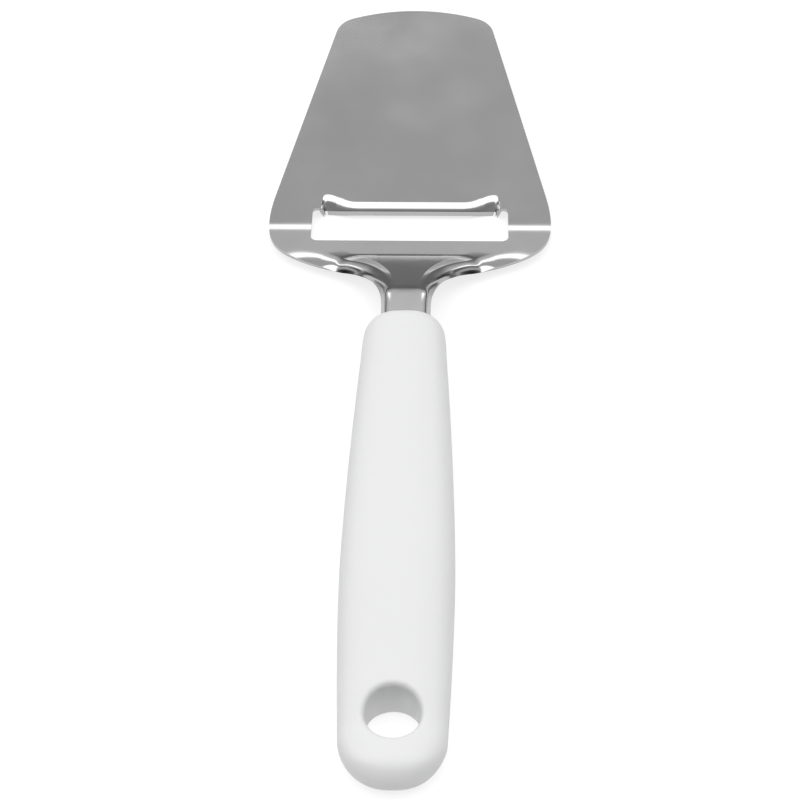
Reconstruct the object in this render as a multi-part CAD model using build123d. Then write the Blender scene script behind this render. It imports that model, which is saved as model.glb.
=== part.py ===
from build123d import *
import math
import os

# Cheese slicer: a pressed steel blade with its tang moulded into a plastic handle.
# Lengths are in millimetres. +Y runs to the blade's tip, +Z is up, and the slicer lies on Z = 0.
# The origin is below the middle of its length and width.

# Blade sheet, from the handle to the tip
SHEET = 0.9
TANG_LENGTH = 50.0
NECK_LENGTH = 11.2
RAMP_RUN = 21.4
BACK_RUN = 11.3
SPATULA_LENGTH = 78.9

# Slopes of the blade's flats in degrees, and the run of the bend between each two
SPATULA_TILT_DEGREES = 7.5
BACK_TILT_DEGREES = 4.5
RAMP_TILT_DEGREES = 22.5
NECK_TILT_DEGREES = 3.5
TANG_TILT_DEGREES = 3.0
HEAD_BEND_RUN = 5.0
RAMP_BEND_RUN = 1.6
NECK_BEND_RUN = 1.6
TANG_BEND_RUN = 4.0

# Widths of the blade. The head's and the tip's are measured between its straight sides
TANG_WIDTH = 10.0
NECK_WIDTH = 11.7
HEAD_WIDTH = 73.5
TIP_WIDTH = 39.4
TIP_RADIUS = 49.0
TIP_CORNER_RADIUS = 6.5

# Rear edge, a curve that leaves the neck's side and ends on the spatula's side
REAR_EDGE_START = 4.9
NECK_PULL = 32.8
SHOULDER_PULL = 36.8
SHOULDER_REACH = 10.5

# Ramp between the two shoulders
ramp_width_share = 0.82
RAMP_LEAD = 10.0
WEB_RISE = 1.2

# Edge turned down beside the neck, behind the shoulders and, only a little, further out.
# Each is a slow bend, a quick bend and a flat flange, with the slopes after the two bends in degrees
NECK_SLOW_BEND = 0.3
NECK_QUICK_BEND = 1.4
NECK_FLANGE = 1.9
NECK_SLOW_DEGREES = 8.0
NECK_FLANGE_DEGREES = 68.0
SHOULDER_SLOW_BEND = 1.4
SHOULDER_QUICK_BEND = 1.6
SHOULDER_FLANGE = 0.9
SHOULDER_SLOW_DEGREES = 18.5
SHOULDER_FLANGE_DEGREES = 58.0
OUTER_SLOW_BEND = 2.8
OUTER_QUICK_BEND = 1.7
OUTER_FLANGE = 0.1
OUTER_SLOW_DEGREES = 12.0
OUTER_FLANGE_DEGREES = 18.5
neck_end_shares = (0.04, 0.26)
shoulder_end_shares = (0.35, 0.47)
outer_end_shares = (0.42, 0.70)

# Slot, and the cutting lip pressed down along its front edge
SLOT_WIDTH = 49.6
SLOT_BACK = 5.6
SLOT_FRONT = 6.2
SLOT_BACK_RADIUS = 1.8
SLOT_FRONT_RADIUS = 1.0
LIP_WIDTH = 44.6
LIP_RADIUS = 4.0
LIP_DEGREES = 50.0
LIP_END_DEGREES = 46.0
LIP_END_RUN = 2.2
LIP_END_REACH = 1.2
LIP_END_LENGTH = 6.5
PRESSED_LENGTH = 18.0

# Handle
HANDLE_LENGTH = 120.0
HANDLE_GRIP_BACK = 72.0
HANDLE_FRONT_WIDTH = 18.1
HANDLE_GRIP_WIDTH = 24.2
HANDLE_END_WIDTH = 21.8
HANDLE_FRONT_HEIGHT = 11.6
HANDLE_GRIP_HEIGHT = 13.6
HANDLE_END_HEIGHT = 9.2
HANDLE_SINK = 0.9
HANDLE_END_RISE = 0.25
HANDLE_CORNER_RADIUS = 6.0
HANDLE_EDGE_RADIUS = 3.5
HANDLE_END_FLAT = 0.12
taper_power_share = 1.6
section_power_share = 2.7

# Hanging hole through the handle's end
HANG_HOLE_RADIUS = 5.5
HANG_HOLE_SETBACK = 14.1
HANG_RIM_RADIUS = 1.2

# Tang in the handle, and the hole in it that the plastic fills
TANG_SHOULDER = 7.0
TANG_HOLE_RADIUS = 2.4
TANG_HOLE_SETBACK = 12.0
TANG_CLEARANCE = 0.05

OVERRUN = 5.0

# How finely the sheet is laid out, in rows along it and columns across half of it
TANG_ROWS = 6
NECK_ROWS = 10
EDGE_ROWS = 36
FRONT_ROWS = 26
EDGE_COLUMNS = 10
BEND_STEPS = 60
ramp_column_shares = (0, 0.18, 0.34, 0.48, 0.6, 0.7, 0.78, 0.84, 0.88, 0.91, 0.94, 0.97, 1)
web_column_shares = (0.06, 0.14, 0.26, 0.42, 0.6, 0.8, 1)

# How finely the handle is laid out
FRONT_SECTIONS = 7
GRIP_SECTIONS = 16
END_SECTIONS = 10
QUARTER_POINTS = 10


def slope(degrees):
    return math.tan(math.radians(degrees))


def past(distance, run):
    """How far a point lies past a bend, eased over the bend's own run."""
    if abs(distance) > run / 2:
        return max(distance, 0.0)
    return (distance + run / 2) ** 2 / (2 * run)


def ease(share):
    """From 0 to 1 with level ends."""
    share = min(max(share, 0.0), 1.0)
    return share * share * (3 - 2 * share)


# Places along the length
spatula_tilt = math.radians(SPATULA_TILT_DEGREES)
spatula_run = SPATULA_LENGTH * math.cos(spatula_tilt)
tip_overhang = SHEET * math.sin(spatula_tilt)
overall_length = HANDLE_LENGTH + NECK_LENGTH + RAMP_RUN + BACK_RUN + spatula_run + tip_overhang
handle_end_y = -overall_length / 2
handle_front_y = handle_end_y + HANDLE_LENGTH
neck_bend_y = handle_front_y + NECK_LENGTH
ramp_bend_y = neck_bend_y + RAMP_RUN
head_bend_y = ramp_bend_y + BACK_RUN
tang_end_y = handle_front_y - TANG_LENGTH
tang_shoulder_y = handle_front_y - TANG_SHOULDER
rear_edge_y = neck_bend_y - REAR_EDGE_START
shoulder_y = head_bend_y + SHOULDER_REACH
pressed_end_y = head_bend_y + PRESSED_LENGTH * math.cos(spatula_tilt)
slot_back_y = head_bend_y - SLOT_BACK
lip_y = head_bend_y + SLOT_FRONT
grip_y = handle_front_y - HANDLE_GRIP_BACK
end_arc_y = handle_end_y + HANDLE_END_WIDTH / 2 - HANDLE_END_FLAT
hang_hole_y = handle_end_y + HANG_HOLE_SETBACK


def head_height(y):
    """Top of the spatula and the flat behind it, above the bend between them."""
    back = slope(SPATULA_TILT_DEGREES) + slope(BACK_TILT_DEGREES)
    return slope(SPATULA_TILT_DEGREES) * (y - head_bend_y) + back * past(head_bend_y - y, HEAD_BEND_RUN)


def flats_height(y):
    """Top of all the flats along the middle of the blade, above the same bend."""
    ramp = slope(RAMP_TILT_DEGREES) - slope(BACK_TILT_DEGREES)
    neck = slope(RAMP_TILT_DEGREES) - slope(NECK_TILT_DEGREES)
    tang = slope(NECK_TILT_DEGREES) + slope(TANG_TILT_DEGREES)
    raised = ramp * past(ramp_bend_y - y, RAMP_BEND_RUN) - neck * past(neck_bend_y - y, NECK_BEND_RUN)
    return head_height(y) + raised - tang * past(tang_shoulder_y + TANG_BEND_RUN / 2 - y, TANG_BEND_RUN)


def lip_fall(distance, degrees):
    """How far the lip has come down below the spatula's flat, at a distance past its fold."""
    start, steepest = math.sin(spatula_tilt), math.sin(math.radians(degrees))
    turned = min(start + max(distance, 0.0) / LIP_RADIUS, steepest)
    arc = LIP_RADIUS * (math.cos(spatula_tilt) - math.sqrt(1 - turned * turned))
    beyond = max(distance - LIP_RADIUS * (steepest - start), 0.0)
    return arc + beyond * slope(degrees) - max(distance, 0.0) * slope(SPATULA_TILT_DEGREES)


# Heights: the lower edge of the lip's two ends is the blade's lowest place, and lies on Z = 0
lip_reach = LIP_RADIUS * (math.sin(math.radians(LIP_DEGREES)) - math.sin(spatula_tilt))
lip_depth_at_end = lip_fall(lip_reach + LIP_END_REACH, LIP_END_DEGREES)
lip_edge_height = SHEET / math.cos(math.radians((LIP_DEGREES + LIP_END_DEGREES) / 2))
head_bend_z = lip_depth_at_end + lip_edge_height - flats_height(lip_y)
neck_z = head_bend_z + flats_height(handle_front_y)


def side_half(y):
    """Half width between the spatula's straight sides."""
    return (HEAD_WIDTH - (HEAD_WIDTH - TIP_WIDTH) * (y - head_bend_y) / spatula_run) / 2


# Poles of the rear edge, a Bezier curve, seen from above
side_pull_y = SHOULDER_PULL * math.cos(math.atan2((HEAD_WIDTH - TIP_WIDTH) / 2, spatula_run))
rear_edge_poles = (
    (NECK_WIDTH / 2, rear_edge_y),
    (NECK_WIDTH / 2, rear_edge_y + NECK_PULL),
    (side_half(shoulder_y - side_pull_y), shoulder_y - side_pull_y),
    (side_half(shoulder_y), shoulder_y),
)


def rear_edge(share):
    """x and y of the rear edge, a share of the way from the neck to the spatula's side."""
    weights = ((1 - share) ** 3, 3 * (1 - share) ** 2 * share, 3 * (1 - share) * share**2, share**3)
    return [sum(weight * pole[axis] for weight, pole in zip(weights, rear_edge_poles)) for axis in (0, 1)]


def inward(share):
    """Direction square to the rear edge, into the blade, as the angle from straight inward."""
    before, after = rear_edge(max(share - 0.001, 0.0)), rear_edge(min(share + 0.001, 1.0))
    return math.atan2(after[0] - before[0], after[1] - before[1])


def lip_shape(x):
    """Around the cutting lip at x: how fully it is pressed, and how near it is to the deeper ends."""
    from_end = LIP_WIDTH / 2 - abs(x)
    return ease(from_end / LIP_END_RUN), ease(1 - (from_end - LIP_END_RUN) / LIP_END_LENGTH)


def lip_depth(x, y):
    """How far the sheet is pressed down around the cutting lip."""
    pressed, end = lip_shape(x)
    fold_y = lip_y + lip_reach + LIP_END_REACH * end
    degrees = LIP_DEGREES + (LIP_END_DEGREES - LIP_DEGREES) * end
    depth = lip_fall(min(fold_y - y, fold_y - lip_y + LIP_END_RUN), degrees)
    in_slot = ease((y - slot_back_y) / (lip_y - LIP_END_RUN - slot_back_y))
    return depth * pressed * in_slot


tang_edge = (NECK_SLOW_BEND, NECK_QUICK_BEND / 2, NECK_FLANGE / 4, 0.0, 0.0)
neck_edge = (NECK_SLOW_BEND, NECK_QUICK_BEND, NECK_FLANGE, NECK_SLOW_DEGREES, NECK_FLANGE_DEGREES)
shoulder_edge = (
    SHOULDER_SLOW_BEND,
    SHOULDER_QUICK_BEND,
    SHOULDER_FLANGE,
    SHOULDER_SLOW_DEGREES,
    SHOULDER_FLANGE_DEGREES,
)
outer_edge = (OUTER_SLOW_BEND, OUTER_QUICK_BEND, OUTER_FLANGE, OUTER_SLOW_DEGREES, OUTER_FLANGE_DEGREES)


def blend(first, second, share):
    return tuple(a + (b - a) * share for a, b in zip(first, second))


def flattened(edge, share):
    """The same edge turned down by only a share of its slopes."""
    return edge[:3] + tuple(degrees * share for degrees in edge[3:])


def between(share, shares):
    """How far a share has come between two others, from 0 to 1 with level ends."""
    return ease((share - shares[0]) / (shares[1] - shares[0]))


def edge_form(share):
    """The turned-down edge a share of the way along the rear edge."""
    if share < neck_end_shares[1]:
        return blend(neck_edge, shoulder_edge, between(share, neck_end_shares))
    outer = blend(shoulder_edge, outer_edge, between(share, shoulder_end_shares))
    return flattened(outer, 1 - between(share, outer_end_shares))


def turned_edge(edge, share):
    """How far out and down the turned-down edge has come, a share of the way over it."""
    slow, quick, flange, slow_degrees, flange_degrees = edge
    length = (slow + quick + flange) * share
    step = length / BEND_STEPS
    out = down = 0.0
    for i in range(BEND_STEPS):
        place = (i + 0.5) * step
        degrees = slow_degrees * min(place / slow, 1.0)
        degrees += (flange_degrees - slow_degrees) * min(max(place - slow, 0.0) / quick, 1.0)
        out += step * math.cos(math.radians(degrees))
        down += step * math.sin(math.radians(degrees))
    return out, down


def rows(margin):
    """Rows of the sheet: y at the middle, x and y at the end, web rise, edge form and its heading."""
    places = [(tang_end_y - margin, TANG_WIDTH / 2, tang_end_y - margin, 0.0, tang_edge, 0.0)]
    for step in range(1, TANG_ROWS):
        y = tang_end_y + (tang_shoulder_y - tang_end_y) * step / TANG_ROWS
        places.append((y, TANG_WIDTH / 2, y, 0.0, tang_edge, 0.0))
    for step in range(NECK_ROWS):
        y = tang_shoulder_y + (rear_edge_y - tang_shoulder_y) * step / NECK_ROWS
        grown = ease((y - tang_shoulder_y) / TANG_SHOULDER)
        x = (TANG_WIDTH + (NECK_WIDTH - TANG_WIDTH) * grown) / 2
        places.append((y, x, y, 0.0, blend(tang_edge, neck_edge, grown), 0.0))
    for step in range(EDGE_ROWS):
        share = step / EDGE_ROWS
        x, y = rear_edge(share)
        middle_y = y + RAMP_LEAD * share * (1 - share) ** 2 * 27 / 4
        rise = WEB_RISE * ease(share * 5) * ease(2 - share * 4)
        places.append((middle_y, x, y, rise, edge_form(share), inward(share)))
    for step in range(FRONT_ROWS + 1):
        y = shoulder_y + (pressed_end_y - shoulder_y) * step / FRONT_ROWS
        places.append((y, side_half(y), y, 0.0, edge_form(1.0), inward(1.0) * (1 - step / FRONT_ROWS)))
    return places


def half_row(place, margin):
    """Top points of one row, from the middle of the blade to its right edge and a margin past it."""
    middle_y, end_x, end_y, web_rise, edge, heading = place
    reach = turned_edge(edge, 1)[0]
    start_x, start_y = end_x - reach * math.cos(heading), end_y + reach * math.sin(heading)
    fold_y = middle_y + (start_y - middle_y) * ramp_width_share**2
    points = []
    for share in ramp_column_shares:
        across = ramp_width_share * share
        y = middle_y + (start_y - middle_y) * across**2
        points.append((start_x * across, y, flats_height(y)))
    for share in web_column_shares:
        across = ramp_width_share + (1 - ramp_width_share) * share
        y = middle_y + (start_y - middle_y) * across**2
        level = flats_height(fold_y) + head_height(y) - head_height(fold_y)
        points.append((start_x * across, y, level + web_rise * share))
    start_z = points[-1][2]
    for step in range(1, EDGE_COLUMNS + 1):
        out, down = turned_edge(edge, step / EDGE_COLUMNS)
        y = start_y - out * math.sin(heading)
        z = start_z + head_height(y) - head_height(start_y) - down
        points.append((start_x + out * math.cos(heading), y, z))
    row = [Vector(x, y, head_bend_z + z - lip_depth(x, y)) for x, y, z in points]
    row[-1] += (row[-1] - row[-2]).normalized() * margin
    return row


def spline_shares(lines):
    """Where each point stands along its line, as shares that suit all the lines together."""
    spans = [sum((line[i] - line[max(i - 1, 0)]).length for line in lines) for i in range(len(lines[0]))]
    return [sum(spans[: i + 1]) / sum(spans) for i in range(len(spans))]


def pressed_sheet(places, margin):
    """Solid sheet through the given rows, grown by a margin above and below."""
    right = [half_row(place, margin) for place in places]
    top = [[Vector(-point.X, point.Y, point.Z) for point in row[:0:-1]] + row for row in right]
    shares = spline_shares(top)
    sections = []
    for i, row in enumerate(top):
        behind, ahead = top[max(i - 1, 0)], top[min(i + 1, len(top) - 1)]
        upper, lower = [], []
        for j, point in enumerate(row):
            across = row[min(j + 1, len(row) - 1)] - row[max(j - 1, 0)]
            normal = across.cross(ahead[j] - behind[j]).normalized()
            upper.append(point + normal * margin)
            lower.append(point - normal * (SHEET + margin))
        over = Edge.make_spline(upper, parameters=shares)
        under = Edge.make_spline(lower, parameters=shares)
        right_end = Edge.make_line(upper[-1], lower[-1])
        left_end = Edge.make_line(lower[0], upper[0])
        sections.append(Wire([over, right_end, under, left_end]))
    return Solid.make_loft(sections)


def spatula_plate():
    """Flat front of the blade, from the end of the pressed part to the tip."""
    start, tip = side_half(pressed_end_y), TIP_WIDTH / 2
    right = [(start, PRESSED_LENGTH), (tip, SPATULA_LENGTH)]
    left = [(-x, y) for x, y in reversed(right)]
    outline = make_face(Polyline(*right, *left, close=True))
    outline &= Pos(0, SPATULA_LENGTH - TIP_RADIUS) * Circle(TIP_RADIUS)
    outline = fillet(outline.vertices().sort_by(Axis.Y)[-2:], TIP_CORNER_RADIUS)
    upward = (0, -math.sin(spatula_tilt), math.cos(spatula_tilt))
    top = Plane((0, head_bend_y, head_bend_z), x_dir=(1, 0, 0), z_dir=upward)
    return top * extrude(outline, -SHEET)


def slot_cutter():
    outline = Pos(0, (slot_back_y + lip_y) / 2) * Rectangle(SLOT_WIDTH, lip_y - slot_back_y)
    outline = fillet(outline.vertices().sort_by(Axis.Y)[:2], SLOT_BACK_RADIUS)
    outline = fillet(outline.vertices().sort_by(Axis.Y)[-2:], SLOT_FRONT_RADIUS)
    return Pos(0, 0, -OVERRUN) * extrude(outline, neck_z + 2 * OVERRUN)


def tang_post(radius):
    """Upright post through the hole in the tang."""
    return Pos(0, tang_end_y + TANG_HOLE_SETBACK, neck_z) * Cylinder(radius, 2 * OVERRUN)


def make_blade():
    blade = Part() + [pressed_sheet(rows(0.0), 0.0), spatula_plate()]
    return blade - slot_cutter() - tang_post(TANG_HOLE_RADIUS)


def handle_taper(y, front, grip, end):
    """A size of the handle at y, fullest at the grip and tapered to its front and end."""
    if y > grip_y:
        return grip - (grip - front) * ((y - grip_y) / HANDLE_GRIP_BACK) ** taper_power_share
    share = min((grip_y - y) / (grip_y - end_arc_y), 1.0)
    return grip - (grip - end) * share**taper_power_share


def rounding(distance, radius):
    """How much a quarter-round takes off, at a distance inside the face where it ends."""
    inside = 1 - min(distance / radius, 1.0)
    return radius * (1 - math.sqrt(1 - inside * inside))


def handle_section(y):
    """Points around the handle at y: a rounded oval, rising both ways from its lowest place."""
    from_front, from_end = handle_front_y - y, y - handle_end_y + HANDLE_END_FLAT
    half_width = handle_taper(y, HANDLE_FRONT_WIDTH, HANDLE_GRIP_WIDTH, HANDLE_END_WIDTH) / 2
    half_height = handle_taper(y, HANDLE_FRONT_HEIGHT, HANDLE_GRIP_HEIGHT, HANDLE_END_HEIGHT) / 2
    front_bottom_z = neck_z - HANDLE_SINK - HANDLE_FRONT_HEIGHT / 2
    raised_share = max(y - end_arc_y, 0.0) / (handle_front_y - end_arc_y)
    end_share = max(end_arc_y - y, 0.0) / (end_arc_y - handle_end_y)
    bottom_z = front_bottom_z * raised_share**taper_power_share + HANDLE_END_RISE * end_share
    middle_z = bottom_z + half_height
    half_width -= rounding(from_front, HANDLE_CORNER_RADIUS) + rounding(from_end, HANDLE_END_WIDTH / 2)
    half_height -= rounding(from_front, HANDLE_EDGE_RADIUS) + rounding(from_end, HANDLE_END_HEIGHT / 2)
    points = []
    for step in range(4 * QUARTER_POINTS + 1):
        angle = math.pi / 2 * step / QUARTER_POINTS
        across, up = math.cos(angle), math.sin(angle)
        x = half_width * math.copysign(abs(across) ** (2 / section_power_share), across)
        z = half_height * math.copysign(abs(up) ** (2 / section_power_share), up)
        points.append(Vector(x, y, middle_z + z))
    return points


def handle_places():
    """Places along the handle, close together where its front and end are rounded."""
    end_radius = HANDLE_END_WIDTH / 2
    flat_angle = math.acos(1 - HANDLE_END_FLAT / end_radius)
    grip_front_y = handle_front_y - HANDLE_CORNER_RADIUS
    places = []
    for step in range(FRONT_SECTIONS):
        places.append(grip_front_y + HANDLE_CORNER_RADIUS * math.cos(math.pi / 2 * step / FRONT_SECTIONS))
    for step in range(GRIP_SECTIONS):
        places.append(grip_front_y + (end_arc_y - grip_front_y) * step / GRIP_SECTIONS)
    for step in range(END_SECTIONS + 1):
        places.append(end_arc_y - end_radius * math.sin((math.pi / 2 - flat_angle) * step / END_SECTIONS))
    return places


def handle_body():
    """Solid through the handle's sections, each outlined in quarters that meet square to X and Z."""
    lines = [handle_section(y) for y in handle_places()]
    headings = [(0, 0, 1), (-1, 0, 0), (0, 0, -1), (1, 0, 0), (0, 0, 1)]
    quarters = []
    for quarter in range(4):
        stretches = [line[QUARTER_POINTS * quarter : QUARTER_POINTS * (quarter + 1) + 1] for line in lines]
        shares = spline_shares(stretches)
        ends = headings[quarter : quarter + 2]
        curves = [Edge.make_spline(points, tangents=ends, parameters=shares) for points in stretches]
        quarters.append(curves)
    return Solid.make_loft([Wire(edges) for edges in zip(*quarters)])


def make_handle():
    tang = pressed_sheet(rows(TANG_CLEARANCE), TANG_CLEARANCE)
    body = handle_body() - (tang - tang_post(TANG_HOLE_RADIUS - TANG_CLEARANCE))
    hole = Cylinder(HANG_HOLE_RADIUS, HANDLE_GRIP_HEIGHT + OVERRUN)
    body -= Pos(0, hang_hole_y, HANDLE_END_HEIGHT / 2) * hole
    around = body.edges().filter_by(lambda edge: abs(edge.center().Y - hang_hole_y) < HANG_HOLE_RADIUS)
    return fillet(around.filter_by(lambda edge: edge.length > 2 * HANG_HOLE_RADIUS), HANG_RIM_RADIUS)


os.makedirs("parts", exist_ok=True)
export_step(make_blade(), "parts/blade.step")
export_step(make_handle(), "parts/handle.step")
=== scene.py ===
import bpy
import math
from mathutils import Matrix, Vector


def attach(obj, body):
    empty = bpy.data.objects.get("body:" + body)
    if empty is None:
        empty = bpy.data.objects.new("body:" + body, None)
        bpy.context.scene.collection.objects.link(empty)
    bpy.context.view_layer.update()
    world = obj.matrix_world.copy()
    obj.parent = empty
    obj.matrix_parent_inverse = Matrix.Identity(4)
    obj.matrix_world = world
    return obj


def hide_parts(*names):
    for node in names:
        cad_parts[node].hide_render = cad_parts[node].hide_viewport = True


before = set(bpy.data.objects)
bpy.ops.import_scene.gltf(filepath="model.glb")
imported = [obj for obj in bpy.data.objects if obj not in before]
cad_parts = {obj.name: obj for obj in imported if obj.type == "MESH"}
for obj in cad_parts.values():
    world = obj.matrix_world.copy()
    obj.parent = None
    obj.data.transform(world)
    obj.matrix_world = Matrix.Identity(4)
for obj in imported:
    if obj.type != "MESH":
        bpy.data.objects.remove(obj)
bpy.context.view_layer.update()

# Camera: seen from the handle's end, a little to the right, from well above the table
VIEW_AZIMUTH = math.radians(-2.4)
VIEW_ELEVATION = math.radians(46.64)
VIEW_ROLL = math.radians(-1.3)
VIEW_DISTANCE = 0.4322
VIEW_TARGET = Vector((-0.0008, -0.0203, 0.006))
FOCAL_PIXELS = 1895.9
IMAGE_PIXELS = 800.0
SENSOR_WIDTH = 36.0
NEAREST_SEEN = 0.01


def look_from(azimuth, elevation, roll, distance, target):
    """Placement of a camera that looks at the target from a distance."""
    level = math.cos(elevation)
    forward = Vector((math.sin(azimuth) * level, math.cos(azimuth) * level, -math.sin(elevation)))
    right = Vector((math.cos(azimuth), -math.sin(azimuth), 0.0))
    up = right.cross(forward)
    turned_right = right * math.cos(roll) + up * math.sin(roll)
    turned_up = up * math.cos(roll) - right * math.sin(roll)
    place = target - forward * distance
    matrix = Matrix((turned_right, turned_up, -forward)).transposed().to_4x4()
    matrix.translation = place
    return matrix


camera_data = bpy.data.cameras.new("camera")
camera_data.sensor_width = SENSOR_WIDTH
camera_data.lens = FOCAL_PIXELS * SENSOR_WIDTH / IMAGE_PIXELS
camera_data.clip_start = NEAREST_SEEN
camera = bpy.data.objects.new("camera", camera_data)
camera.matrix_world = look_from(VIEW_AZIMUTH, VIEW_ELEVATION, VIEW_ROLL, VIEW_DISTANCE, VIEW_TARGET)
bpy.context.scene.collection.objects.link(camera)
bpy.context.scene.camera = camera
bpy.context.scene.view_settings.view_transform = "Standard"


# Finishes: the polish varies slowly over the sheet, in patches of about 17 mm
POLISH_SCALE = 60.0
POLISH_DETAIL = 3.0
POLISH_SPREAD = (0.3, 0.7)
STEEL_TONES = (0.595, 0.625)
STEEL_ROUGHNESSES = (0.10, 0.15)
PLASTIC_COLOUR = (0.865, 0.87, 0.867, 1.0)
PLASTIC_ROUGHNESS = 0.42


def new_material(name):
    """Material with its nodes on, and its nodes and links."""
    material = bpy.data.materials.new(name)
    material.use_nodes = True
    return material, material.node_tree.nodes, material.node_tree.links


def map_range(nodes, links, value, spread, result=(0.0, 1.0)):
    """Node that carries a value from one range to another."""
    node = nodes.new("ShaderNodeMapRange")
    node.inputs["From Min"].default_value, node.inputs["From Max"].default_value = spread
    node.inputs["To Min"].default_value, node.inputs["To Max"].default_value = result
    links.new(value, node.inputs["Value"])
    return node


def math_result(nodes, links, operation, *values):
    """Result of a sum on numbers and other nodes' outputs."""
    node = nodes.new("ShaderNodeMath")
    node.operation = operation
    for socket, value in zip(node.inputs, values):
        if isinstance(value, float):
            socket.default_value = value
        else:
            links.new(value, socket)
    return node.outputs[0]


def polished_steel():
    """Stainless steel with a slow unevenness of tone and polish."""
    material, nodes, links = new_material("polished stainless steel")
    shader = nodes["Principled BSDF"]
    shader.inputs["Metallic"].default_value = 1.0
    place = nodes.new("ShaderNodeTexCoord")
    cloud = nodes.new("ShaderNodeTexNoise")
    cloud.inputs["Scale"].default_value = POLISH_SCALE
    cloud.inputs["Detail"].default_value = POLISH_DETAIL
    links.new(place.outputs["Object"], cloud.inputs["Vector"])
    tone = map_range(nodes, links, cloud.outputs["Fac"], POLISH_SPREAD, STEEL_TONES)
    links.new(tone.outputs["Result"], shader.inputs["Base Color"])
    rough = map_range(nodes, links, cloud.outputs["Fac"], POLISH_SPREAD, STEEL_ROUGHNESSES)
    links.new(rough.outputs["Result"], shader.inputs["Roughness"])
    return material


def white_plastic():
    """Plain white plastic with a soft gloss."""
    material, nodes, _ = new_material("white moulded plastic")
    shader = nodes["Principled BSDF"]
    shader.inputs["Base Color"].default_value = PLASTIC_COLOUR
    shader.inputs["Roughness"].default_value = PLASTIC_ROUGHNESS
    return material


# Blade, pressed from one sheet, in millimetres. The lengths are the solid's but for finer forms: the bends
# above and below the ramp are tighter, the tip is 0.1 narrower with rounder corners, the lip's ends are
# wider, steeper and set forward, and the neck's turned-down edge gives way to the shoulder's sooner
MM = 0.001
SHEET = 0.9
TANG_LENGTH = 50.0
NECK_LENGTH = 11.2
RAMP_RUN = 21.4
BACK_RUN = 11.3
SPATULA_LENGTH = 78.9
SPATULA_TILT_DEGREES = 7.5
BACK_TILT_DEGREES = 4.5
RAMP_TILT_DEGREES = 22.5
NECK_TILT_DEGREES = 3.5
TANG_TILT_DEGREES = 3.0
HEAD_BEND_RUN = 5.0
RAMP_BEND_RUN = 0.8
NECK_BEND_RUN = 0.8
TANG_BEND_RUN = 4.0
TANG_WIDTH = 10.0
NECK_WIDTH = 11.7
HEAD_WIDTH = 73.5
TIP_WIDTH = 39.3
TIP_RADIUS = 49.0
TIP_CORNER_RADIUS = 7.0
REAR_EDGE_START = 4.9
NECK_PULL = 32.8
SHOULDER_PULL = 36.8
SHOULDER_REACH = 10.5
RAMP_WIDTH_SHARE = 0.82
RAMP_LEAD = 10.0
WEB_RISE = 1.2
WEB_RISE_RATE = 5
WEB_FALL_RATE = 4
SLOT_WIDTH = 49.6
SLOT_BACK = 5.6
SLOT_FRONT = 6.2
SLOT_BACK_RADIUS = 1.8
SLOT_FRONT_RADIUS = 1.0
LIP_WIDTH = 45.8
LIP_RADIUS = 4.0
LIP_DEGREES = 50.0
LIP_END_DEGREES = 46.0
LIP_END_RUN = 1.6
LIP_END_REACH = 2.5
LIP_END_RECESS = 1.2
LIP_END_LENGTH = 7.0
PRESSED_LENGTH = 18.0
HEAD_BEND_Z = 2.66
TABLE_GAP = 0.01
HANDLE_LENGTH = 120.0
TANG_SHOULDER = 7.0

# Turned-down edge beside the neck, behind the shoulders and further out: the lengths of its slow bend,
# quick bend and flange, and the slopes after the two bends in degrees
TANG_EDGE = (0.3, 0.7, 0.475, 0.0, 0.0)
NECK_EDGE = (0.3, 1.4, 1.9, 8.0, 68.0)
SHOULDER_EDGE = (1.4, 1.6, 0.9, 18.5, 58.0)
OUTER_EDGE = (2.8, 1.7, 0.1, 12.0, 18.5)
NECK_END_SHARES = (0.02, 0.16)
SHOULDER_END_SHARES = (0.35, 0.47)
OUTER_END_SHARES = (0.42, 0.70)

# How finely the visible sheet is laid out
TANG_ROWS = 10
NECK_ROWS = 26
EDGE_ROWS = 96
LIP_ROWS = 50
LIP_ROWS_SHARE = 0.06
FRONT_ROWS = 26
SPATULA_ROWS = 24
TIP_ROWS = 8
WEB_COLUMNS = 12
EDGE_COLUMNS = 16
BEND_STEPS = 40
RAMP_MIDDLE_SHARE = 0.76
RAMP_MIDDLE_COLUMNS = 18
RAMP_SIDE_SHARE = 0.2
RAMP_SIDE_COLUMNS = 24
RAMP_LAST_SHARES = [0.96, 0.98, 1.0]
RAMP_COLUMN_SHARES = [
    RAMP_MIDDLE_SHARE * step / RAMP_MIDDLE_COLUMNS for step in range(RAMP_MIDDLE_COLUMNS)
]
RAMP_COLUMN_SHARES += [
    RAMP_MIDDLE_SHARE + RAMP_SIDE_SHARE * step / RAMP_SIDE_COLUMNS for step in range(RAMP_SIDE_COLUMNS)
]
RAMP_COLUMN_SHARES += RAMP_LAST_SHARES
SLOT_CORNER_STEPS = 8
LIP_EDGE_STEPS = 60

# Punch heights, and what counts as merged, upright, flat, on the lip's edge and one sheet thick
PUNCH_HEIGHTS = (-8.0, 15.0)
MERGE_GAP = 0.001
UPRIGHT_NORMAL_Z = 0.01
FLAT_NORMAL_Z = 0.95
LIP_EDGE_SLACK = 0.005
SHEET_SLACK = 0.05

# Step for finding the rear edge's heading, and the widest angle that is shaded smooth
HEADING_STEP = 0.001
SMOOTH_DEGREES = 30


def slope(degrees):
    """Rise for each unit of run."""
    return math.tan(math.radians(degrees))


def past(distance, run):
    """How far a point lies past a bend, eased over the bend's own run."""
    if abs(distance) > run / 2:
        return max(distance, 0.0)
    return (distance + run / 2) ** 2 / (2 * run)


def ease(share):
    """From 0 to 1 with level ends."""
    share = min(max(share, 0.0), 1.0)
    return share * share * (3 - 2 * share)


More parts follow.
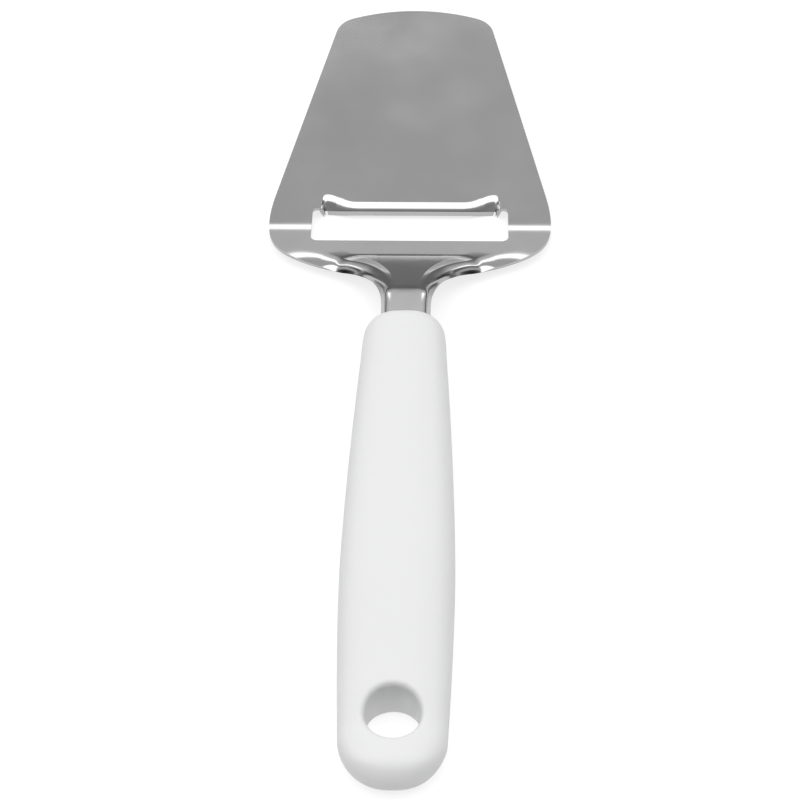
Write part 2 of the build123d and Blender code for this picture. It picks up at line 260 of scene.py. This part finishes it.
spatula_tilt = math.radians(SPATULA_TILT_DEGREES)
spatula_run = SPATULA_LENGTH * math.cos(spatula_tilt)
tip_overhang = SHEET * math.sin(spatula_tilt)
overall_length = HANDLE_LENGTH + NECK_LENGTH + RAMP_RUN + BACK_RUN + spatula_run + tip_overhang
handle_front_y = HANDLE_LENGTH - overall_length / 2
neck_bend_y = handle_front_y + NECK_LENGTH
ramp_bend_y = neck_bend_y + RAMP_RUN
head_bend_y = ramp_bend_y + BACK_RUN
tang_end_y = handle_front_y - TANG_LENGTH
tang_shoulder_y = handle_front_y - TANG_SHOULDER
rear_edge_y = neck_bend_y - REAR_EDGE_START
shoulder_y = head_bend_y + SHOULDER_REACH
pressed_end_y = head_bend_y + PRESSED_LENGTH * math.cos(spatula_tilt)
slot_back_y = head_bend_y - SLOT_BACK
lip_y = head_bend_y + SLOT_FRONT


def head_height(y):
    """Top of the spatula and the flat behind it, above the bend between them."""
    back = slope(SPATULA_TILT_DEGREES) + slope(BACK_TILT_DEGREES)
    return slope(SPATULA_TILT_DEGREES) * (y - head_bend_y) + back * past(head_bend_y - y, HEAD_BEND_RUN)


def flats_height(y):
    """Top of all the flats along the middle of the blade, above the same bend."""
    ramp = slope(RAMP_TILT_DEGREES) - slope(BACK_TILT_DEGREES)
    neck = slope(RAMP_TILT_DEGREES) - slope(NECK_TILT_DEGREES)
    tang = slope(NECK_TILT_DEGREES) + slope(TANG_TILT_DEGREES)
    raised = ramp * past(ramp_bend_y - y, RAMP_BEND_RUN) - neck * past(neck_bend_y - y, NECK_BEND_RUN)
    return head_height(y) + raised - tang * past(tang_shoulder_y + TANG_BEND_RUN / 2 - y, TANG_BEND_RUN)


def side_half(y):
    """Half width between the spatula's straight sides."""
    return (HEAD_WIDTH - (HEAD_WIDTH - TIP_WIDTH) * (y - head_bend_y) / spatula_run) / 2


side_pull_y = SHOULDER_PULL * math.cos(math.atan2((HEAD_WIDTH - TIP_WIDTH) / 2, spatula_run))
rear_edge_poles = (
    (NECK_WIDTH / 2, rear_edge_y),
    (NECK_WIDTH / 2, rear_edge_y + NECK_PULL),
    (side_half(shoulder_y - side_pull_y), shoulder_y - side_pull_y),
    (side_half(shoulder_y), shoulder_y),
)


def rear_edge(share):
    """x and y of the rear edge, a share of the way from the neck to the spatula's side."""
    weights = ((1 - share) ** 3, 3 * (1 - share) ** 2 * share, 3 * (1 - share) * share**2, share**3)
    return [sum(weight * pole[axis] for weight, pole in zip(weights, rear_edge_poles)) for axis in (0, 1)]


def inward(share):
    """Direction square to the rear edge, into the blade, as the angle from straight inward."""
    before, after = rear_edge(max(share - HEADING_STEP, 0.0)), rear_edge(min(share + HEADING_STEP, 1.0))
    return math.atan2(after[0] - before[0], after[1] - before[1])


def lip_fall(distance, degrees):
    """How far the lip has come down below the spatula's flat, at a distance past its fold."""
    start, steepest = math.sin(spatula_tilt), math.sin(math.radians(degrees))
    turned = min(start + max(distance, 0.0) / LIP_RADIUS, steepest)
    arc = LIP_RADIUS * (math.cos(spatula_tilt) - math.sqrt(1 - turned * turned))
    beyond = max(distance - LIP_RADIUS * (steepest - start), 0.0)
    return arc + beyond * slope(degrees) - max(distance, 0.0) * slope(SPATULA_TILT_DEGREES)


lip_reach = LIP_RADIUS * (math.sin(math.radians(LIP_DEGREES)) - math.sin(spatula_tilt))


def lip_shape(x):
    """Around the cutting lip at x: how fully it is pressed, and how near it is to the deeper ends."""
    from_end = LIP_WIDTH / 2 - abs(x)
    return ease(from_end / LIP_END_RUN), ease(1 - (from_end - LIP_END_RUN) / LIP_END_LENGTH)


def lip_front(x):
    """Front edge of the slot at x, further forward near the lip's ends."""
    pressed, end = lip_shape(x)
    return lip_y + LIP_END_RECESS * pressed * end


def lip_depth(x, y):
    """How far the sheet is pressed down around the cutting lip."""
    pressed, end = lip_shape(x)
    fold_y = lip_y + lip_reach + LIP_END_REACH * end
    degrees = LIP_DEGREES + (LIP_END_DEGREES - LIP_DEGREES) * end
    depth = lip_fall(min(fold_y - y, fold_y - lip_front(x) + LIP_RADIUS / 2), degrees)
    return depth * pressed * ease((y - slot_back_y) / (lip_y - LIP_RADIUS / 2 - slot_back_y))


def blend(first, second, share):
    """Numbers a share of the way from one row of numbers to another."""
    return tuple(a + (b - a) * share for a, b in zip(first, second))


def flattened(edge, share):
    """The same edge turned down by only a share of its slopes."""
    return edge[:3] + tuple(degrees * share for degrees in edge[3:])


def between(share, shares):
    """How far a share has come between two others, from 0 to 1 with level ends."""
    return ease((share - shares[0]) / (shares[1] - shares[0]))


def edge_form(share):
    """The turned-down edge a share of the way along the rear edge."""
    if share < NECK_END_SHARES[1]:
        return blend(NECK_EDGE, SHOULDER_EDGE, between(share, NECK_END_SHARES))
    outer = blend(SHOULDER_EDGE, OUTER_EDGE, between(share, SHOULDER_END_SHARES))
    return flattened(outer, 1 - between(share, OUTER_END_SHARES))


def turned_edge(edge, share):
    """How far out and down the turned-down edge has come, a share of the way over it."""
    slow, quick, flange, slow_degrees, flange_degrees = edge
    length = (slow + quick + flange) * share
    step = length / BEND_STEPS
    out = down = 0.0
    for i in range(BEND_STEPS):
        place = (i + 0.5) * step
        degrees = slow_degrees * min(place / slow, 1.0)
        degrees += (flange_degrees - slow_degrees) * min(max(place - slow, 0.0) / quick, 1.0)
        out += step * math.cos(math.radians(degrees))
        down += step * math.sin(math.radians(degrees))
    return out, down


def sheet_rows():
    """Rows of the pressed part: y at the middle, x and y at the end, web rise, edge form and its heading."""
    places = []
    for step in range(TANG_ROWS):
        y = tang_end_y + (tang_shoulder_y - tang_end_y) * step / TANG_ROWS
        places.append((y, TANG_WIDTH / 2, y, 0.0, TANG_EDGE, 0.0))
    for step in range(NECK_ROWS):
        y = tang_shoulder_y + (rear_edge_y - tang_shoulder_y) * step / NECK_ROWS
        grown = ease((y - tang_shoulder_y) / TANG_SHOULDER)
        x = (TANG_WIDTH + (NECK_WIDTH - TANG_WIDTH) * grown) / 2
        places.append((y, x, y, 0.0, blend(TANG_EDGE, NECK_EDGE, grown), 0.0))
    shares = [(1 - LIP_ROWS_SHARE) * step / EDGE_ROWS for step in range(EDGE_ROWS)]
    shares += [1 - LIP_ROWS_SHARE + LIP_ROWS_SHARE * step / LIP_ROWS for step in range(LIP_ROWS)]
    for share in shares:
        x, y = rear_edge(share)
        # 27 / 4 makes RAMP_LEAD the most that the middle runs ahead of the edge
        middle_y = y + RAMP_LEAD * share * (1 - share) ** 2 * 27 / 4
        rise = WEB_RISE * ease(share * WEB_RISE_RATE) * ease(2 - share * WEB_FALL_RATE)
        places.append((middle_y, x, y, rise, edge_form(share), inward(share)))
    for step in range(FRONT_ROWS + 1):
        y = shoulder_y + (pressed_end_y - shoulder_y) * step / FRONT_ROWS
        places.append((y, side_half(y), y, 0.0, edge_form(1.0), inward(1.0) * (1 - step / FRONT_ROWS)))
    return places


def half_row(place):
    """Top points of one row, from the middle of the blade to its right edge."""
    middle_y, end_x, end_y, web_rise, edge, heading = place
    reach = turned_edge(edge, 1)[0]
    start_x, start_y = end_x - reach * math.cos(heading), end_y + reach * math.sin(heading)
    fold_y = middle_y + (start_y - middle_y) * RAMP_WIDTH_SHARE**2
    points = []
    for share in RAMP_COLUMN_SHARES:
        across = RAMP_WIDTH_SHARE * share
        y = middle_y + (start_y - middle_y) * across**2
        points.append((start_x * across, y, flats_height(y)))
    for step in range(1, WEB_COLUMNS + 1):
        across = RAMP_WIDTH_SHARE + (1 - RAMP_WIDTH_SHARE) * step / WEB_COLUMNS
        y = middle_y + (start_y - middle_y) * across**2
        level = flats_height(fold_y) + head_height(y) - head_height(fold_y)
        points.append((start_x * across, y, level + web_rise * step / WEB_COLUMNS))
    start_z = points[-1][2]
    for step in range(1, EDGE_COLUMNS + 1):
        out, down = turned_edge(edge, step / EDGE_COLUMNS)
        y = start_y - out * math.sin(heading)
        z = start_z + head_height(y) - head_height(start_y) - down
        points.append((start_x + out * math.cos(heading), y, z))
    return [(x, y, z - lip_depth(x, y)) for x, y, z in points]


def tip_row(columns):
    """Plan points of the tip's outline, from the middle to where the corner meets the straight side."""
    lean = math.atan2((HEAD_WIDTH - TIP_WIDTH) / 2, SPATULA_LENGTH)
    side = Vector((-math.sin(lean), math.cos(lean)))
    into_blade = Vector((-math.cos(lean), -math.sin(lean)))
    corner_side = Vector((TIP_WIDTH / 2, SPATULA_LENGTH)) + into_blade * TIP_CORNER_RADIUS
    arc_middle = Vector((0.0, SPATULA_LENGTH - TIP_RADIUS))
    gap = corner_side - arc_middle
    reach = TIP_RADIUS - TIP_CORNER_RADIUS
    along = -gap.dot(side) + math.sqrt(gap.dot(side) ** 2 - gap.dot(gap) + reach * reach)
    corner = corner_side + side * along
    touch = (corner - arc_middle).normalized()
    arc_angle = math.atan2(touch.x, touch.y)
    arc_length = TIP_RADIUS * arc_angle
    corner_angle = math.pi / 2 - lean - arc_angle
    total = arc_length + TIP_CORNER_RADIUS * corner_angle
    points = []
    for share in columns:
        travel = share * total
        if travel <= arc_length:
            turn = travel / TIP_RADIUS
            points.append(arc_middle + TIP_RADIUS * Vector((math.sin(turn), math.cos(turn))))
        else:
            turn = arc_angle + (travel - arc_length) / TIP_CORNER_RADIUS
            points.append(corner + TIP_CORNER_RADIUS * Vector((math.sin(turn), math.cos(turn))))
    return points


def blade_top():
    """Top surface of the sheet before the slot is cut, as rows of points from the middle to the right."""
    rows = [half_row(place) for place in sheet_rows()]
    start_half = side_half(pressed_end_y)
    columns = [x / start_half for x, y, z in rows[-1]]
    tip = tip_row(columns)
    end_point = tip[-1]
    for step in range(1, SPATULA_ROWS + 1):
        share = step / SPATULA_ROWS
        y = head_bend_y + (PRESSED_LENGTH + (end_point.y - PRESSED_LENGTH) * share) * math.cos(spatula_tilt)
        half = start_half + (end_point.x - start_half) * share
        xs = [half * (across + (goal.x / end_point.x - across) * share) for across, goal in zip(columns, tip)]
        rows.append([(x, y, head_height(y)) for x in xs])
    for step in range(1, TIP_ROWS + 1):
        share = step / TIP_ROWS
        alongs = [end_point.y + (goal.y - end_point.y) * share for goal in tip]
        ys = [head_bend_y + along * math.cos(spatula_tilt) for along in alongs]
        rows.append([(goal.x, y, head_height(y)) for goal, y in zip(tip, ys)])
    return rows


def mesh_piece(name, points, faces):
    """Object from points in millimetres and faces, the only one selected."""
    mesh = bpy.data.meshes.new(name)
    mesh.from_pydata([[part * MM for part in point] for point in points], [], faces)
    piece = bpy.data.objects.new(name, mesh)
    bpy.context.scene.collection.objects.link(piece)
    bpy.ops.object.select_all(action="DESELECT")
    piece.select_set(True)
    bpy.context.view_layer.objects.active = piece
    return piece


def make_blade():
    """Pressed blade: its top laid out in rows, given the sheet's thickness, and the slot cut through it."""
    rows = [[(-x, y, z) for x, y, z in row[:0:-1]] + row for row in blade_top()]
    width = len(rows[0])
    points = [(x, y, z + HEAD_BEND_Z) for row in rows for x, y, z in row]
    corners = [i * width + j for i in range(len(rows) - 1) for j in range(width - 1)]
    piece = mesh_piece("pressed_blade", points, [(k, k + 1, k + 1 + width, k + width) for k in corners])
    bpy.ops.object.mode_set(mode="EDIT")
    bpy.ops.mesh.select_all(action="SELECT")
    bpy.ops.mesh.remove_doubles(threshold=MERGE_GAP * MM)
    bpy.ops.object.mode_set(mode="OBJECT")
    punch_slot(piece)
    thicken = piece.modifiers.new("sheet", "SOLIDIFY")
    thicken.thickness = SHEET * MM
    thicken.offset = -1.0
    bpy.ops.object.modifier_apply(modifier="sheet")
    square_lip_edge(piece)
    bpy.ops.object.shade_smooth_by_angle(angle=math.radians(SMOOTH_DEGREES))
    return piece


def slot_outline():
    """Outline of the slot seen from above, its front side following the edge of the lip."""
    half = SLOT_WIDTH / 2
    outline = []
    for radius, side_y, from_degrees in ((SLOT_BACK_RADIUS, slot_back_y, 270), (SLOT_FRONT_RADIUS, lip_y, 0)):
        for step in range(SLOT_CORNER_STEPS + 1):
            turn = math.radians(from_degrees + 90 * step / SLOT_CORNER_STEPS)
            middle_y = side_y + radius if from_degrees else side_y - radius
            outline.append((half - radius + radius * math.cos(turn), middle_y + radius * math.sin(turn)))
    lip_xs = [LIP_WIDTH / 2 * (1 - step / LIP_EDGE_STEPS) for step in range(LIP_EDGE_STEPS + 1)]
    outline += [(x, lip_front(x)) for x in lip_xs]
    return outline + [(-x, y) for x, y in outline[-2::-1]]


def inside(outline, x, y):
    """Whether a place seen from above lies inside an outline."""
    crossings = 0
    for (x1, y1), (x2, y2) in zip(outline, outline[1:] + outline[:1]):
        if (y1 > y) != (y2 > y) and x < x1 + (x2 - x1) * (y - y1) / (y2 - y1):
            crossings += 1
    return crossings % 2 == 1


def select_faces(piece, wanted):
    """Leave only the wanted faces selected, in edit mode."""
    bpy.ops.object.mode_set(mode="EDIT")
    bpy.ops.mesh.select_mode(type="FACE")
    bpy.ops.mesh.select_all(action="DESELECT")
    bpy.ops.object.mode_set(mode="OBJECT")
    for face in piece.data.polygons:
        face.select = wanted(face)
    bpy.ops.object.mode_set(mode="EDIT")


def punch_slot(piece):
    """Punch pushed through the sheet along the slot's outline, and the blank inside it taken out."""
    outline = slot_outline()
    count = len(outline)
    walls = [(i, (i + 1) % count, (i + 1) % count + count, i + count) for i in range(count)]
    ends = [(x, y, z) for z in PUNCH_HEIGHTS for x, y in outline]
    punch = mesh_piece("punch", ends, walls)
    piece.select_set(True)
    bpy.context.view_layer.objects.active = piece
    bpy.ops.object.join()
    select_faces(piece, lambda face: abs(face.normal.z) < UPRIGHT_NORMAL_Z)
    bpy.ops.mesh.intersect(mode="SELECT_UNSELECT", separate_mode="CUT", solver="EXACT")
    bpy.ops.object.mode_set(mode="OBJECT")

    def in_blank(face):
        x, y, z = face.center / MM
        return abs(face.normal.z) < UPRIGHT_NORMAL_Z or inside(outline, x, y)

    select_faces(piece, in_blank)
    bpy.ops.mesh.delete(type="FACE")
    bpy.ops.mesh.select_all(action="SELECT")
    bpy.ops.mesh.remove_doubles(threshold=MERGE_GAP * MM)
    bpy.ops.object.mode_set(mode="OBJECT")


def square_lip_edge(piece):
    """Lower corner of the lip's edge brought straight below its upper corner, as a punch leaves it."""
    edges = {}
    faces_of = {}
    for face in piece.data.polygons:
        for pair in face.edge_keys:
            faces_of.setdefault(pair, []).append(face)
    for (first, second), faces in faces_of.items():
        if any(abs(face.normal.z) > FLAT_NORMAL_Z for face in faces):
            continue
        edges.setdefault(first, []).append(second)
        edges.setdefault(second, []).append(first)
    points = piece.data.vertices
    for point in points:
        x, y, z = point.co / MM
        if abs(x) < LIP_WIDTH / 2 and abs(y - lip_front(x)) < LIP_EDGE_SLACK:
            for other in edges.get(point.index, []):
                below = points[other].co / MM
                gap = below - Vector((x, y, z))
                if abs(gap.length - SHEET) < SHEET_SLACK and gap.z < 0 and gap.y > SHEET_SLACK:
                    points[other].co = Vector((x, y, max(z + gap.length**2 / gap.z, TABLE_GAP))) * MM


steel = polished_steel()
plastic = white_plastic()
blade = make_blade()
blade.data.materials.append(steel)
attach(blade, "root")
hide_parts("blade")
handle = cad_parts["handle"]
handle.data.materials.clear()
handle.data.materials.append(plastic)

# Floor: what is seen of it glows by itself, so that it stays white up to the slicer's shadow,
# and the steel mirrors that glow a little weaker
FLOOR_SIZE = 6.0
FLOOR_GLOW = 0.75
FLOOR_GLOW_MIRRORED = 0.45
FLOOR_COLOURS = (0.92, 0.35)


def white_floor():
    """Material of the floor, darker itself where its glow is seen."""
    material, nodes, links = new_material("white floor")
    nodes.clear()
    output = nodes.new("ShaderNodeOutputMaterial")
    path = nodes.new("ShaderNodeLightPath").outputs
    seen = math_result(nodes, links, "MAXIMUM", path["Is Glossy Ray"], path["Is Transmission Ray"])
    mirrored = math_result(nodes, links, "MULTIPLY", seen, FLOOR_GLOW_MIRRORED)
    level = math_result(nodes, links, "MULTIPLY_ADD", path["Is Camera Ray"], FLOOR_GLOW, mirrored)
    paper = map_range(nodes, links, level, (0.0, FLOOR_GLOW_MIRRORED), FLOOR_COLOURS)
    diffuse = nodes.new("ShaderNodeBsdfDiffuse")
    glow = nodes.new("ShaderNodeEmission")
    both = nodes.new("ShaderNodeAddShader")
    links.new(paper.outputs["Result"], diffuse.inputs["Color"])
    links.new(level, glow.inputs["Strength"])
    links.new(diffuse.outputs[0], both.inputs[0])
    links.new(glow.outputs[0], both.inputs[1])
    links.new(both.outputs[0], output.inputs["Surface"])
    return material


floor_mesh = bpy.data.meshes.new("floor")
floor_half = FLOOR_SIZE / 2
floor_corners = [(x * floor_half, y * floor_half, 0) for x, y in ((-1, -1), (1, -1), (1, 1), (-1, 1))]
floor_mesh.from_pydata(floor_corners, [], [(0, 1, 2, 3)])
floor = bpy.data.objects.new("floor", floor_mesh)
bpy.context.scene.collection.objects.link(floor)
floor_mesh.materials.append(white_floor())

# Studio: brightness at degrees from the horizon past the tip, over the top, to the horizon past the handle
STUDIO_BANDS = [
    (0, 0.16), (14, 0.16), (22, 0.36), (30, 0.62), (38.6, 0.62), (40.4, 2.1), (46.5, 2.1), (48, 0.485),
    (66, 0.50), (71, 2.0), (114, 2.0), (121, 0.42), (138, 0.22), (146, 0.02), (180, 0.02),
]
# The bright bands are not as wide as they are long: beside them the studio is dimmed, less so on the left
STUDIO_SIDES = (-0.9, 1.0)
STUDIO_DIM_FROM = (0.62, 0.78)
STUDIO_DIM = 0.25


def studio_light():
    """World that lights the slicer and is plain white where the camera sees it."""
    world = bpy.data.worlds.new("studio")
    world.use_nodes = True
    nodes, links = world.node_tree.nodes, world.node_tree.links
    nodes.clear()
    output = nodes.new("ShaderNodeOutputWorld")
    place = nodes.new("ShaderNodeTexCoord")
    split = nodes.new("ShaderNodeSeparateXYZ")
    links.new(place.outputs["Generated"], split.inputs[0])
    parts = split.outputs
    angle = math_result(nodes, links, "ARCTAN2", parts["Z"], parts["Y"])
    turned = map_range(nodes, links, angle, (0.0, math.pi))
    bands = nodes.new("ShaderNodeValToRGB")
    elements = bands.color_ramp.elements
    for i, (degrees, value) in enumerate(STUDIO_BANDS):
        stop = elements[i] if i < 2 else elements.new(degrees / 180)
        stop.position = degrees / 180
        stop.color = (value, value, value, 1.0)
    links.new(turned.outputs["Result"], bands.inputs["Fac"])
    aside = map_range(nodes, links, parts["X"], (-1.0, 1.0), STUDIO_SIDES)
    far_aside = math_result(nodes, links, "ABSOLUTE", aside.outputs["Result"])
    beside = map_range(nodes, links, far_aside, STUDIO_DIM_FROM)
    beside.interpolation_type = "SMOOTHSTEP"
    dim = nodes.new("ShaderNodeMix")
    dim.data_type = "RGBA"
    dim.blend_type = "MULTIPLY"
    dim.inputs["B"].default_value = (STUDIO_DIM, STUDIO_DIM, STUDIO_DIM, 1.0)
    links.new(beside.outputs["Result"], dim.inputs["Factor"])
    links.new(bands.outputs["Color"], dim.inputs["A"])
    lit = nodes.new("ShaderNodeBackground")
    links.new(dim.outputs["Result"], lit.inputs["Color"])
    white = nodes.new("ShaderNodeBackground")
    path = nodes.new("ShaderNodeLightPath")
    mix = nodes.new("ShaderNodeMixShader")
    links.new(path.outputs["Is Camera Ray"], mix.inputs[0])
    links.new(lit.outputs[0], mix.inputs[1])
    links.new(white.outputs[0], mix.inputs[2])
    links.new(mix.outputs[0], output.inputs["Surface"])
    return world


bpy.context.scene.world = studio_light()
